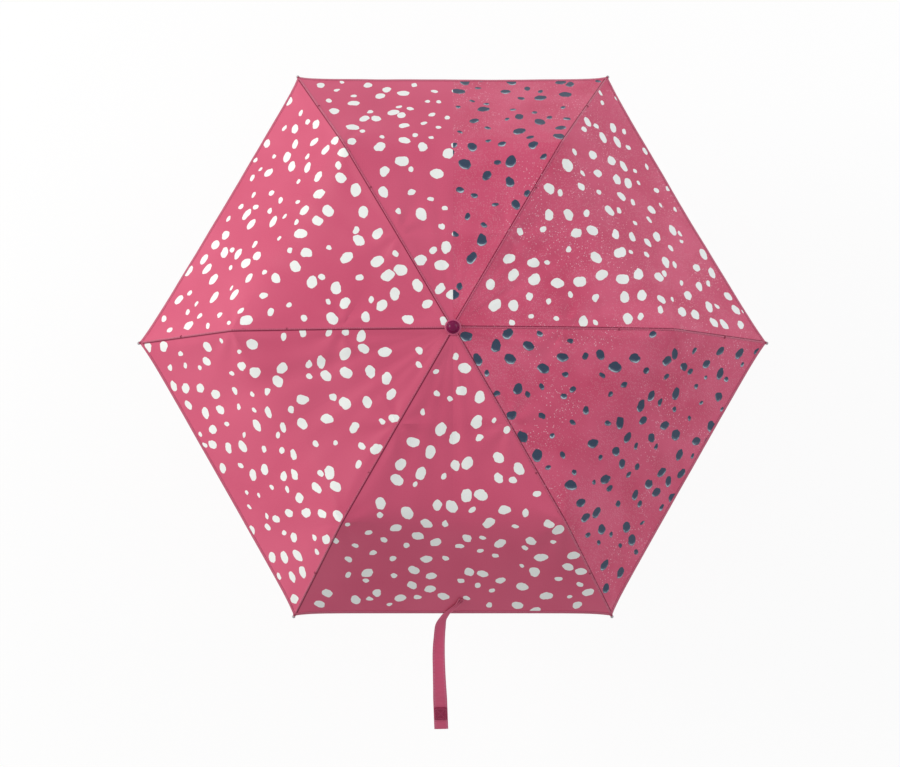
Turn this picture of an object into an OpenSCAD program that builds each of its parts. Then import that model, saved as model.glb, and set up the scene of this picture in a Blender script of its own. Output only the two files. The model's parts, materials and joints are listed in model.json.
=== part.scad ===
// Six-rib folding umbrella for a child: three-section shaft, twice-folding ribs and a sewn
// canopy. The umbrella stands open and upright. The origin is on the shaft's axis, at the
// lower end of the round grip, with +Z up. Each rib lies in an upright plane through the axis.

/* [Canopy] */
// Distance from the shaft's axis to the rib tips
tip_r = 450; // [400:5:540]
// Distance from the axis to the crease, where the outer ribs turn down
crease_r = 300; // [270:5:330]
// Distance from the axis to the knee between the top and middle ribs
knee_r = 150; // [130:5:170]
// Depth of the rib tips below the top pivots
tip_drop = 165; // [130:5:200]
// Depth of the crease below the top pivots
crease_drop = 27; // [18:1:34]
// Depth of the knee below the top pivots
knee_drop = 8; // [5:1:10]
// Thickness of the cloth
cloth_t = 0.5; // [0.4:0.1:0.8]
// Length of each outer rib that shows past the hem
tip_shows = 7; // [4:1:12]

/* [Shaft] */
// Outer radius of the thin lower tube
lower_tube_r = 3.6; // [3:0.1:4.4]
// Wall of each tube
tube_wall = 0.6; // [0.5:0.05:0.8]
// Length of the lower tube that shows between the handle and the middle tube
lower_shows = 110; // [80:5:135]
// Length of the middle tube that shows between the lower and upper tubes
middle_shows = 140; // [110:5:170]
// Length of the upper tube below the top pivots
upper_shows = 180; // [172:1:220]
// How far one tube reaches into the next when the shaft is drawn out
tube_overlap = 20; // [15:1:30]

/* [Handle] */
// Radius of the round grip
grip_r = 13; // [11:0.5:16]
// Length of the round grip
grip_len = 50; // [40:1:70]
// Height of the collar above the grip
collar_h = 12; // [8:1:16]
// Height of the domed end cap below the grip
end_cap_h = 9; // [8:0.5:14]
// Radius of the hole for a wrist loop
loop_hole_r = 1.8; // [1:0.1:2.2]

/* [Ribs] */
// Distance from the axis to the pivots in the top notch and the runner
hinge_r = 9; // [8.6:0.1:11]
// Distance along the top rib from its pivot to the stretcher's rivet
rivet_at = 64; // [54:1:76]
// Length of the stretcher between its two pivots
stretcher_len = 80; // [76:1:100]
// Width of the pressed top rib
rib_w = 3; // [2.6:0.1:3.6]
// Height of the pressed top rib
rib_h = 3.4; // [2.9:0.1:4]
// Thickness of the pressed sheet
sheet_t = 0.6; // [0.5:0.05:0.8]
// Radius of the round outer rib
rod_r = 1.3; // [1.1:0.1:1.5]
// Radius of the bead on each rib tip
bead_r = 2.4; // [2:0.1:3]
// Radius of the rivets and pins
pin_r = 0.7; // [0.6:0.05:0.8]

/* [Links] */
// Distance from the stretcher's outer pivot back to the link bar's pin
link_back = 12; // [10:0.5:14]
// Length of the middle rib's heel behind the knee
heel_len = 12; // [10:0.5:14]
// Length of the outer rib's heel behind the crease
outer_heel_len = 8; // [6.5:0.5:10]
// Distance from the knee to the pull wire's pin on the top rib
wire_pin_len = 5.6; // [5.2:0.1:7]
// Radius of the link bar and the pull wire
wire_r = 0.7; // [0.5:0.05:0.85]

/* [Runner and crown] */
// Length of the runner below its pivots
runner_len = 28; // [24:1:30]
// Radius of the runner's finger flange
flange_r = 13; // [11:0.5:14]
// Thickness of the slotted rings outside the middle of the pivots
ring_lip = 2.5; // [1.4:0.1:3.5]
// Radius of the ring of wire that the ribs turn on
hinge_wire_r = 0.6; // [0.5:0.05:0.7]
// Radius of the domed cap over the canopy's centre
cap_r = 9; // [7:0.5:10]
// Height of the dome
cap_h = 9; // [6:0.5:14]
// Radius of the washer under the cap
washer_r = 11.3; // [10:0.1:14]
// Thickness of the washer
washer_t = 1.2; // [0.8:0.1:2]

/* [Closure strap] */
// Width of the strap
strap_w = 20; // [15:1:25]
// Thickness of the strap
strap_t = 1.2; // [0.8:0.1:1.6]
// Thickness of the patch
patch_t = 0.8; // [0.6:0.1:1.2]

/* [Fits] */
// Radial gap of a tube that slides in a tube, and of a pin in its bore
slide_fit = 0.08; // [0.04:0.01:0.1]
// Gap between pieces that pass each other
side_gap = 0.4; // [0.3:0.05:0.5]
// Gap between two pieces that are fixed to each other
fixed_gap = 0.05; // [0.03:0.01:0.1]

/* [Hidden] */
RIBS = 6;
STEP = 360 / RIBS;
$fn = 48;

function ribs_of(name) = [for (i = [1:RIBS]) str(name, "_", i)];

// Colours
METAL = "silver";
DARK_METAL = "dimgray";
RASPBERRY = [0.55, 0.13, 0.28];
CLOTH = [0.77, 0.33, 0.44];
TRIM = [0.62, 0.16, 0.30];

// Directions and angles in a rib's own plane: x runs out from the axis and y runs up
function dir(angle) = [cos(angle), sin(angle)];
function slope(from, to) = atan2(to.y - from.y, to.x - from.x);
function beside(point, angle, gap) = point + gap * dir(angle + 90);

// Heights along the shaft
handle_top = grip_len + collar_h;
lower_top = handle_top + lower_shows + tube_overlap;
middle_bottom = handle_top + lower_shows;
middle_top = middle_bottom + middle_shows + tube_overlap;
upper_bottom = middle_bottom + middle_shows;
pivot_z = upper_bottom + upper_shows;

// Tubes, each sized from the one inside it
lower_bore_r = lower_tube_r - tube_wall;
middle_bore_r = lower_tube_r + slide_fit;
middle_tube_r = middle_bore_r + tube_wall;
upper_bore_r = middle_tube_r + slide_fit;
upper_tube_r = upper_bore_r + tube_wall;
lock_r = 1.6;
lock_up = 4;
catch_len = 12;
catch_w = 2;

// Hubs round the upper tube
hub_r = hinge_r - 2.4;
ring_r = hinge_r + ring_lip;
hub_h = 3;
notch_h = 9;

// Places in a rib's plane
top_pivot = [hinge_r, pivot_z];
knee = [knee_r, pivot_z - knee_drop];
crease = [crease_r, pivot_z - crease_drop];
tip = [tip_r - bead_r, pivot_z - tip_drop];
top_slope = slope(top_pivot, knee);
middle_slope = slope(knee, crease);
outer_slope = slope(crease, tip);
rivet = top_pivot + rivet_at * dir(top_slope);
runner_pivot = [hinge_r, rivet.y - sqrt(pow(stretcher_len, 2) - pow(rivet.x - hinge_r, 2))];
catch_low = runner_pivot.y - runner_len - catch_len - 1;
stretcher_slope = slope(runner_pivot, rivet);
link_pin = rivet - link_back * dir(stretcher_slope);
heel_turn = -146;
heel_pin = knee + heel_len * dir(middle_slope + heel_turn);
wire_turn = -150;
wire_pin = knee + wire_pin_len * dir(middle_slope + wire_turn);
outer_heel_pin = crease + outer_heel_len * dir(middle_slope + wire_turn);

// Layers across a rib: the top and outer ribs in the middle, the cheeks of the stretcher and
// the middle rib outside them, and the link bar and pull wire outside those
cheek_in = rib_w / 2 + side_gap;
cheek_out = cheek_in + sheet_t;
link_in = cheek_out + side_gap;
link_y = link_in + wire_r;
link_out = link_y + wire_r;
outer_heel_in = cheek_out + side_gap;
outer_heel_out = outer_heel_in + sheet_t;
pull_in = outer_heel_out + side_gap;
pull_y = pull_in + wire_r;
pull_out = pull_y + wire_r;
bore_r = pin_r + slide_fit;
wire_bore_r = hinge_wire_r + 0.45;
end_r = 1.9;
cheek_end_r = 2.3;
cheek_up = 2.3;
cheek_down = 1.7;
eye_r = 1.6;
head_r = 1.4;
head_t = 0.35;
nest = 8;
heel_half = 1.1;

// Cloth, laid on the ribs
cloth_lift = cheek_end_r + 0.5;
crease_room = 1.4;
seam_gap = 0.3;
centre_hole_r = upper_tube_r + 0.8;
hem = tip - tip_shows * dir(outer_slope);
cloth_path = [
    [centre_hole_r, pivot_z + cloth_lift + 0.4],
    beside(knee, (top_slope + middle_slope) / 2, cloth_lift),
    beside(crease, (middle_slope + outer_slope) / 2,
           cloth_lift / cos((middle_slope - outer_slope) / 2) + crease_room),
    beside(hem, outer_slope, cloth_lift)];

// Cap and washer, stacked on the cloth
washer_z = cloth_path[0].y + cloth_t + fixed_gap;
cap_z = washer_z + washer_t + fixed_gap;

// Closure strap, sewn to the outside of the cloth halfway between two ribs. Each point of its
// route is how far it lies across, outwards and above the middle of the hem.
hem_mid_out = cloth_path[3].x * cos(STEP / 2);
skirt_tilt = slope([cloth_path[2].x * cos(STEP / 2), cloth_path[2].y],
                   [hem_mid_out, cloth_path[3].y]);
strap_lift = cloth_t + strap_t / 2 + 0.3;
strap_route = concat(
    [for (s = [[12, -36], [6, -24], [-4, -12]])
        [s.x, s.y * cos(skirt_tilt), s.y * sin(skirt_tilt)]],
    [[-12, 0, 0], [-17, 11, -9], [-19, 28, -19], [-20, 50, -28], [-19.5, 76, -37],
     [-18.5, 104, -50], [-18, 118, -59], [-17.5, 132, -68], [-17, 146, -77],
     [-16.5, 160, -86]]);

// Turns a shape drawn in a rib's plane to rib number i
module at_rib(i) rotate([0, 0, (i - 1) * STEP]) children();

// Draws along a member: x runs from the point along the member, and z runs to its upper side
module along(point, angle) translate([point.x, 0, point.y]) rotate([0, -angle, 0]) children();

// A round bar across a rib, from y = from to y = to
module across(r, from, to) translate([0, to, 0]) rotate([90, 0, 0]) cylinder(r = r, h = to - from);

// A flat bar from x = a to x = b, y = from to to, z = low to high
module bar(a, b, from, to, low, high)
    translate([a, from, low]) cube([b - a, to - from, high - low]);

module tube(outer, inner, low, high) difference() {
    translate([0, 0, low]) cylinder(r = outer, h = high - low);
    translate([0, 0, low - 1]) cylinder(r = inner, h = high - low + 2);
}

module torus(ring, r, z) translate([0, 0, z]) rotate_extrude() translate([ring, 0]) circle(r = r);

// A radial hole or button at height z
module radial(r, from, to, z)
    translate([from, 0, z]) rotate([0, 90, 0]) cylinder(r = r, h = to - from);

// Handle: a moulded grip with a round collar, over a domed cap with a hole for a loop
module handle_grip() color(RASPBERRY) difference() {
    union() {
        cylinder(r = grip_r, h = grip_len, $fn = 96);
        translate([0, 0, grip_len]) cylinder(r1 = grip_r - 1, r2 = grip_r - 4, h = collar_h);
    }
    translate([0, 0, handle_top - 3]) cylinder(r = upper_tube_r + 0.6, h = 4);
    translate([0, 0, 8]) cylinder(r = lower_tube_r + fixed_gap, h = handle_top);
    translate([0, 0, -1]) cylinder(r = grip_r / 2, h = 5);
}

module handle_end_cap() color(RASPBERRY) difference() {
    union() {
        intersection() {
            translate([0, 0, -fixed_gap]) scale_dome(grip_r - 0.5, end_cap_h);
            translate([0, 0, -end_cap_h - 1]) cylinder(r = grip_r, h = end_cap_h + 1 - fixed_gap);
        }
        translate([0, 0, -1]) cylinder(r = grip_r / 2 - fixed_gap, h = 4);
    }
    translate([0, grip_r, -end_cap_h + 3.2]) rotate([90, 0, 0])
        cylinder(r = loop_hole_r, h = 2 * grip_r);
}

// The lower half of a shallow dome, as a slice of a turned arc
module scale_dome(r, h) {
    ball = (r * r + h * h) / (2 * h);
    intersection() {
        translate([0, 0, ball - h]) sphere(r = ball, $fn = 96);
        translate([0, 0, -h]) cylinder(r = r, h = h);
    }
}

// Shaft: three tubes with a spring button at each joint, which drops into a hole
module lower_tube() color(METAL) difference() {
    tube(lower_tube_r, lower_bore_r, 8 + fixed_gap, lower_top);
    radial(lock_r + fixed_gap, 0, lower_tube_r + 1, middle_bottom + lock_up);
}

module lower_lock() color(DARK_METAL)
    radial(lock_r, lower_bore_r - 1.4, middle_tube_r + 0.4, middle_bottom + lock_up);

module middle_tube() color(METAL) difference() {
    tube(middle_tube_r, middle_bore_r, middle_bottom, middle_top);
    radial(lock_r + side_gap, 0, middle_tube_r + 1, middle_bottom + lock_up);
    radial(lock_r + fixed_gap, 0, middle_tube_r + 1, upper_bottom + lock_up);
}

module middle_lock() color(DARK_METAL)
    radial(lock_r, middle_bore_r + slide_fit, upper_tube_r + 0.4, upper_bottom + lock_up);

module upper_tube() color(METAL) difference() {
    tube(upper_tube_r, upper_bore_r, upper_bottom, pivot_z + 2);
    radial(lock_r + side_gap, 0, upper_tube_r + 1, upper_bottom + lock_up);
    rotate([0, 0, STEP / 2])
        translate([0, -catch_w / 2 - side_gap, catch_low - 1])
            cube([hinge_r, catch_w + 2 * side_gap, catch_len + 2]);
}

// The catch is a sprung wedge in a slot of the upper tube, just under the open runner
module runner_catch() color(METAL) rotate([0, 0, STEP / 2])
    translate([0, catch_w / 2, catch_low]) rotate([90, 0, 0]) linear_extrude(catch_w)
        polygon([[upper_bore_r - 1, 0], [upper_tube_r, 0], [upper_tube_r + 1.5, catch_len],
                 [upper_bore_r - 1, catch_len]]);

// A ring with a slot for each rib and a groove for the wire that they turn on
module slotted_ring(z, low, high, slot_w, slot_low) difference() {
    tube(ring_r, hub_r - 0.6, z - low, z + high);
    for (i = [1:RIBS]) at_rib(i)
        translate([hub_r, -slot_w / 2, z + slot_low]) cube([ring_r, slot_w, high + 1 - slot_low]);
    torus(hinge_r, hinge_wire_r + fixed_gap, z);
    tube(hinge_r + hinge_wire_r + fixed_gap, hinge_r - hinge_wire_r - fixed_gap, z, z + high + 1);
}

// Crown of the frame, fixed on the top of the upper tube
module top_notch() color(DARK_METAL) difference() {
    union() {
        tube(hub_r, upper_tube_r - 1, pivot_z - notch_h, pivot_z + 2.2);
        slotted_ring(pivot_z, end_r + 1.3, 2.2, rib_w + 2 * side_gap, -notch_h);
    }
    translate([0, 0, pivot_z - notch_h - 1]) cylinder(r = upper_tube_r + fixed_gap, h = 2 * notch_h);
}

module notch_wire() color(METAL) torus(hinge_r, hinge_wire_r, pivot_z);

module ferrule_washer() color(TRIM)
    tube(washer_r, upper_bore_r + fixed_gap, washer_z, washer_z + washer_t);

// Domed cap, with a stem down through the cloth into the upper tube
module ferrule_cap() color(RASPBERRY) union() {
    translate([0, 0, cap_z]) mirror([0, 0, 1]) scale_dome(cap_r, cap_h);
    translate([0, 0, pivot_z - 8]) cylinder(r = upper_bore_r - fixed_gap, h = cap_z + 1 - pivot_z + 8);
}

// Runner: a sleeve that slides on the upper tube, with a slotted ring and a finger flange
module runner() color(DARK_METAL) difference() {
    union() {
        tube(hub_r, upper_tube_r - 1, runner_pivot.y - runner_len, runner_pivot.y + hub_h);
        slotted_ring(runner_pivot.y, cheek_end_r + 1.3, hub_h, 2 * (cheek_out + side_gap),
                     -cheek_end_r - 0.3);
        tube(hub_r + 2, hub_r - 1, runner_pivot.y - runner_len, runner_pivot.y - cheek_end_r - 1);
        tube(flange_r, hub_r - 1, runner_pivot.y - runner_len, runner_pivot.y - runner_len + 3);
    }
    translate([0, 0, runner_pivot.y - runner_len - 1])
        cylinder(r = upper_tube_r + slide_fit, h = runner_len + hub_h + 2);
}

module runner_wire() color(METAL) torus(hinge_r, hinge_wire_r, runner_pivot.y);

// Top rib: a pressed channel, open below, with a solid end at the notch and at the knee
module top_rib() {
    length = norm(knee - top_pivot);
    wire_at = length + wire_pin_len * cos(middle_slope - top_slope + wire_turn);
    wire_low = wire_pin_len * sin(middle_slope - top_slope + wire_turn);
    color(METAL) along(top_pivot, top_slope) difference() {
        union() {
            bar(0, length, -rib_w / 2, rib_w / 2, -rib_h / 2, rib_h / 2);
            across(end_r, -rib_w / 2, rib_w / 2);
            translate([length, 0, 0]) across(end_r, -rib_w / 2, rib_w / 2);
            translate([wire_at, 0, wire_low]) across(pin_r, -pull_out, 0);
            translate([wire_at, 0, wire_low]) across(1.3, -rib_w / 2, rib_w / 2);
            bar(wire_at - 1.3, wire_at + 1.3, -rib_w / 2, rib_w / 2, wire_low, 0);
        }
        bar(nest, rivet_at - 5, sheet_t - rib_w / 2, rib_w / 2 - sheet_t, -rib_h, rib_h / 2 - sheet_t);
        bar(rivet_at + 5, length - 12, sheet_t - rib_w / 2, rib_w / 2 - sheet_t,
            -rib_h, rib_h / 2 - sheet_t);
        across(wire_bore_r, -rib_w, rib_w);
        translate([length, 0, 0]) across(bore_r, -rib_w, rib_w);
    }
}

// The two cheeks of a channel, from x = 0 to x = length, with round ends
module cheeks(length) for (side = [-cheek_out, cheek_in]) {
    bar(0, length, side, side + sheet_t, -cheek_down, cheek_down);
    for (x = [0, length]) translate([x, 0, 0]) across(cheek_end_r, side, side + sheet_t);
}

// Stretcher: a channel, open below, from the runner's wire to the rivet on the top rib
module stretcher() color(METAL) along(runner_pivot, stretcher_slope) difference() {
    union() {
        cheeks(stretcher_len);
        bar(0, 5, -cheek_out, cheek_out, -cheek_down, cheek_down);
        across(cheek_end_r, -cheek_out, cheek_out);
        bar(4, stretcher_len - 4 * nest, -cheek_out, cheek_out, cheek_down - sheet_t, cheek_down);
        for (side = [-cheek_out - head_t, cheek_out]) translate([stretcher_len, 0, 0])
            across(head_r, side, side + head_t);
        translate([stretcher_len - link_back, 0, 0]) across(pin_r, cheek_out, link_out + head_t);
    }
    across(wire_bore_r, -cheek_out - 1, cheek_out + 1);
}

// A round wire at y = y between two eyes, the first with a bore
module wire_link(from, to, y) color(METAL) {
    length = norm(to - from);
    along(from, slope(from, to)) difference() {
        union() {
            translate([0, y, 0]) rotate([0, 90, 0]) cylinder(r = wire_r, h = length);
            for (x = [0, length]) translate([x, 0, 0]) across(eye_r, y - wire_r, y + wire_r);
        }
        across(bore_r, y - 2 * wire_r, y + 2 * wire_r);
    }
}

module link_bar() wire_link(link_pin, heel_pin, link_y);
module pull_wire() wire_link(wire_pin, outer_heel_pin, -pull_y);

// A flat heel from the origin of a member to a point at the given turn
module heel(length, turn, from, to) rotate([0, -turn, 0]) {
    bar(-heel_half, length, from, to, -heel_half, heel_half);
    translate([length, 0, 0]) across(heel_half + 0.4, from, to);
}

// Middle rib: two cheeks joined by a web, which is below near the knee and above near the
// crease, so that the top rib folds into it from above and the outer rib from below
module middle_rib() {
    length = norm(crease - knee);
    web_mid = length / 2;
    color(METAL) along(knee, middle_slope) difference() {
        union() {
            cheeks(length);
            bar(6, web_mid + 2, -cheek_out, cheek_out, -cheek_down - sheet_t, -cheek_down);
            for (side = [-cheek_out, cheek_in])
                bar(web_mid - 4, web_mid + 4, side, side + sheet_t, -cheek_down - sheet_t, cheek_down);
            bar(web_mid - 2, length - 2 * nest, -cheek_out, cheek_out,
                cheek_down - sheet_t, cheek_down);
            across(pin_r, -cheek_out, cheek_out);
            heel(heel_len, heel_turn, cheek_in + fixed_gap, cheek_out - fixed_gap);
        }
        translate([length, 0, 0]) across(bore_r, -cheek_out - 1, cheek_out + 1);
    }
}

// Outer rib: a round rod in an end fitting, with a heel beside the middle rib, and a bead
module outer_rib() {
    length = norm(tip - crease);
    turn = middle_slope - outer_slope + wire_turn;
    fitting = 16;
    color(METAL) along(crease, outer_slope) {
        union() {
            translate([fitting - 6, 0, 0]) rotate([0, 90, 0])
                cylinder(r = rod_r, h = length - fitting + 6);
            bar(0, fitting, -rib_w / 2, rib_w / 2, -rod_r - 0.3, rod_r + 0.3);
            across(rod_r + 0.3, -rib_w / 2, rib_w / 2);
            across(pin_r, -outer_heel_out, cheek_out + head_t);
            heel(outer_heel_len, turn, -outer_heel_out, -outer_heel_in);
            translate([outer_heel_len * cos(turn), 0, outer_heel_len * sin(turn)])
                across(pin_r, -outer_heel_out - side_gap / 2, -outer_heel_in);
            translate([length - 5, 0, 0]) rotate([0, 90, 0]) cylinder(r = bead_r - 0.6, h = 5);
            translate([length, 0, 0]) sphere(r = bead_r, $fn = 32);
        }
    }
}

// A closed sheet from rows of four points, which go round each cross-section
module sheet(points, rows) polyhedron(points, concat(
    [[3, 2, 1], [3, 1, 0]],
    [for (k = [0:rows - 2], j = [0:3], half = [0, 1])
        let (a = 4 * k + j, b = 4 * k + (j + 1) % 4) half == 0 ? [a, b, b + 4] : [a, b + 4, a + 4]],
    [for (half = [0, 1]) let (a = 4 * (rows - 1)) half == 0 ? [a, a + 1, a + 2] : [a, a + 2, a + 3]]));

// One gore of the canopy, from rib 1 to rib 2, as a thin closed sheet bent at the knee and
// the crease. Each row of points holds the left and right edges, above and below.
module canopy_gore() {
    half = STEP / 2;
    rows = len(cloth_path);
    function edge(p, side, lift) =
        let (out = p.x * cos(half), wide = max(p.x * sin(half) - seam_gap, 0.1))
        [out, side * wide, p.y + lift];
    points = [for (p = cloth_path)
        each [edge(p, 1, cloth_t), edge(p, -1, cloth_t), edge(p, -1, 0), edge(p, 1, 0)]];
    color(CLOTH) rotate([0, 0, half]) sheet(points, rows);
}

// A flat strip along the strap's route, from point number first to last, raised by lift. It
// lies square to the skirt's slope, so its sewn end rests flat on the cloth.
module strip(first, last, width, thick, lift) {
    spots = [for (s = strap_route) [s.x, -hem_mid_out - s.y, cloth_path[3].y + s.z]];
    skirt_up = [0, sin(skirt_tilt), cos(skirt_tilt)];
    function ahead(k) =
        let (d = spots[min(k + 1, len(spots) - 1)] - spots[max(k - 1, 0)]) d / norm(d);
    function wide(k) = let (w = cross(skirt_up, ahead(k))) w / norm(w);
    points = [for (k = [first:last])
        let (w = wide(k) * width / 2, up = cross(ahead(k), wide(k)), s = spots[k])
        each [s + w + up * (lift + thick / 2), s - w + up * (lift + thick / 2),
              s - w + up * (lift - thick / 2), s + w + up * (lift - thick / 2)]];
    sheet(points, last - first + 1);
}

module closure_strap() color(TRIM) strip(0, len(strap_route) - 1, strap_w, strap_t, strap_lift);

module strap_patch() color(RASPBERRY)
    strip(len(strap_route) - 4, len(strap_route) - 2, strap_w - 2, patch_t,
          strap_lift + (strap_t + patch_t) / 2 + fixed_gap);

handle_grip();
handle_end_cap();
lower_tube();
lower_lock();
middle_tube();
middle_lock();
upper_tube();
runner_catch();
top_notch();
notch_wire();
ferrule_washer();
ferrule_cap();
runner();
runner_wire();
for (i = [1:RIBS]) at_rib(i) {
    top_rib();
    stretcher();
    link_bar();
    middle_rib();
    pull_wire();
    outer_rib();
    canopy_gore();
}
closure_strap();
strap_patch();
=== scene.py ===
import json
import math

import bmesh
import bpy
from mathutils import Matrix, Vector, noise


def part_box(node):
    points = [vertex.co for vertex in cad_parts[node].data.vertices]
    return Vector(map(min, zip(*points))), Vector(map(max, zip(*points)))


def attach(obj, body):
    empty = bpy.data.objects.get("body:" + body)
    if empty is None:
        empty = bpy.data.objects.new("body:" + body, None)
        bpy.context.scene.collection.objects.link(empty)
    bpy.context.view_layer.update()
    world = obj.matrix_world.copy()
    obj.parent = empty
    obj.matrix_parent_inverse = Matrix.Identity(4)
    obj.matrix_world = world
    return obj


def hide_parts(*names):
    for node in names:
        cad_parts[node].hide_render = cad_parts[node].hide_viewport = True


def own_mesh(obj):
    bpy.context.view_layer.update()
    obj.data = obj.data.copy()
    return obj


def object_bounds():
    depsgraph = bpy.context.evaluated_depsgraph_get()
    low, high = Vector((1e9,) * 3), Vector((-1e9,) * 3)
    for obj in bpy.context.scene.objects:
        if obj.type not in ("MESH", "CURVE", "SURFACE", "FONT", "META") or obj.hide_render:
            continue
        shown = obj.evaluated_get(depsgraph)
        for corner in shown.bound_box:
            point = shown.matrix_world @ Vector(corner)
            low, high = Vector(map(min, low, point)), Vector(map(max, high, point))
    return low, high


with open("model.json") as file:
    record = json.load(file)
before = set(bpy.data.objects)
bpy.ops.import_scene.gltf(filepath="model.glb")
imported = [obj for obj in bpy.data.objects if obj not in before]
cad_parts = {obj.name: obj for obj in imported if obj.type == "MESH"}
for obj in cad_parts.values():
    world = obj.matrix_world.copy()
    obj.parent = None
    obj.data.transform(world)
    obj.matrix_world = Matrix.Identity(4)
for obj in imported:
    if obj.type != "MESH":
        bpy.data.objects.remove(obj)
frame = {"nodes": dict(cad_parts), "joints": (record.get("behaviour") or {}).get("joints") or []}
cad_box = [list(corner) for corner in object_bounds()]


# ---------------------------------------------------------------- Camera and studio
# The umbrella stands open on its handle, and the camera looks almost straight down on its
# crown, a little from the strap's side. The floor and the walls are plain white, under a soft
# lamp at the left and two weaker ones. The floor shows only from above.

joint = {j["name"]: j for j in frame["joints"]}
crown_z = joint["top_rib_hinge_1"]["pos_m"][2]
floor_gap = 0.001
floor_z = cad_box[0][2] - floor_gap

camera_data = bpy.data.cameras.new("camera")
camera_data.lens = 89.0
camera_data.sensor_width = 36.0
camera_data.clip_end = 200.0
camera = bpy.data.objects.new("camera", camera_data)
bpy.context.scene.collection.objects.link(camera)
aim = Vector((-0.004, -0.076, crown_z))
camera_elevation = math.radians(83.7)
camera_distance = 3.0
camera.location = aim + camera_distance * Vector((0, -math.cos(camera_elevation),
                                                  math.sin(camera_elevation)))
camera.rotation_euler = (math.pi / 2 - camera_elevation, 0, 0)
bpy.context.scene.camera = camera
bpy.context.scene.view_settings.view_transform = "Standard"


def linear(code):
    """An sRGB hex colour as linear red, green and blue, with alpha 1."""
    parts = [int(code[k:k + 2], 16) / 255 for k in (1, 3, 5)]
    return tuple(c / 12.92 if c <= 0.04045 else ((c + 0.055) / 1.055) ** 2.4 for c in parts) + (1.0,)


def set_inputs(tree, node, inputs):
    """Gives a node its inputs. Each is a value, an output of another node, or another node,
    which stands for the first of its outputs that is in use."""
    for name, value in inputs.items():
        if isinstance(value, bpy.types.Node):
            value = next(output for output in value.outputs if output.enabled)
        if isinstance(value, bpy.types.NodeSocket):
            tree.links.new(value, node.inputs[name])
        else:
            node.inputs[name].default_value = value


def add_node(tree, kind, inputs=None, **settings):
    """Adds a node with its settings and its inputs."""
    node = tree.nodes.new("ShaderNode" + kind)
    for name, value in settings.items():
        setattr(node, name, value)
    set_inputs(tree, node, inputs or {})
    return node


lamp_aim = Vector((0, 0, 0.4))


def lamp(name, place, size, power, colour):
    """A square soft lamp that faces the canopy."""
    data = bpy.data.lights.new(name, "AREA")
    data.size = size
    data.energy = power
    data.color = linear(colour)[:3]
    obj = bpy.data.objects.new(name, data)
    obj.location = place
    obj.rotation_euler = (lamp_aim - Vector(place)).to_track_quat("-Z", "Y").to_euler()
    bpy.context.scene.collection.objects.link(obj)


lamp("key_lamp", (-2.9, 0.8, 1.9), 1.6, 76, "#FFFDF9")
lamp("fill_lamp", (2.6, 1.3, 2.0), 2.2, 44, "#F7FAFF")
lamp("low_lamp", (0.4, -2.8, 1.2), 2.0, 4, "#FFFFFF")


def seen_by(tree, *rays):
    """1 for rays of the named kinds, and 0 for all others."""
    path = add_node(tree, "LightPath")
    seen = path.outputs[rays[0]]
    for ray in rays[1:]:
        seen = add_node(tree, "Math", {0: seen, 1: path.outputs[ray]}, operation="MAXIMUM")
    return seen


world = bpy.data.worlds.new("studio")
bpy.context.scene.world = world
world.use_nodes = True
sky = world.node_tree
sky.nodes.clear()
seen_white = seen_by(sky, "Is Camera Ray", "Is Glossy Ray", "Is Transmission Ray")
soft_fill = add_node(sky, "Background", {"Color": linear("#FFFFFF"), "Strength": 0.5})
white_wall = add_node(sky, "Background", {"Color": linear("#FFFFFF"), "Strength": 1.0})
sky_mix = add_node(sky, "MixShader", {0: seen_white, 1: soft_fill, 2: white_wall})
add_node(sky, "OutputWorld", {"Surface": sky_mix})

floor_half = 60
floor_mesh = bpy.data.meshes.new("floor")
floor_shape = bmesh.new()
bmesh.ops.create_grid(floor_shape, x_segments=1, y_segments=1, size=floor_half)
bmesh.ops.translate(floor_shape, verts=floor_shape.verts, vec=(0, 0, floor_z))
floor_shape.to_mesh(floor_mesh)
floor_shape.free()
floor = bpy.data.objects.new("floor", floor_mesh)
bpy.context.scene.collection.objects.link(floor)

floor_paint = bpy.data.materials.new("matt_white_floor")
floor_paint.use_nodes = True
tree = floor_paint.node_tree
tree.nodes.clear()
white_share = add_node(tree, "Math", {0: seen_by(tree, "Is Camera Ray", "Is Glossy Ray"), 1: 0.9},
                       operation="MULTIPLY")
floor_matt = add_node(tree, "BsdfDiffuse", {"Color": linear("#F4F4F4")})
floor_white = add_node(tree, "Emission", {"Color": linear("#FFFFFF"), "Strength": 1.0})
floor_mix = add_node(tree, "MixShader", {0: white_share, 1: floor_matt, 2: floor_white})
from_below = add_node(tree, "NewGeometry").outputs["Backfacing"]
floor_clear = add_node(tree, "BsdfTransparent")
floor_sided = add_node(tree, "MixShader", {0: from_below, 1: floor_mix, 2: floor_clear})
add_node(tree, "OutputMaterial", {"Surface": floor_sided})
floor_mesh.materials.append(floor_paint)


# ---------------------------------------------------------------- Handle
# A moulded ABS grip with a soft-touch raspberry coat: a straight barrel with rounded ends,
# five shallow rings for the fingers, and a cone that leads to the shaft. A domed end cap of
# the same plastic plugs its lower end, with a cross hole for a loop.

grip_low, grip_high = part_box("handle_grip")
grip_r = (grip_high.x - grip_low.x) / 2
cone_length = 0.012
cone_low = grip_high.z - cone_length
shaft_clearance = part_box("upper_tube")[1].x + 0.0006
ring_pitch = 0.0055
ring_half = 0.0012
ring_deep = 0.0005


def closed(shape):
    """Merges the doubled points of a shape and turns its faces outwards."""
    bmesh.ops.remove_doubles(shape, verts=shape.verts, dist=1e-6)
    bmesh.ops.recalc_face_normals(shape, faces=shape.faces)
    return shape


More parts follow.
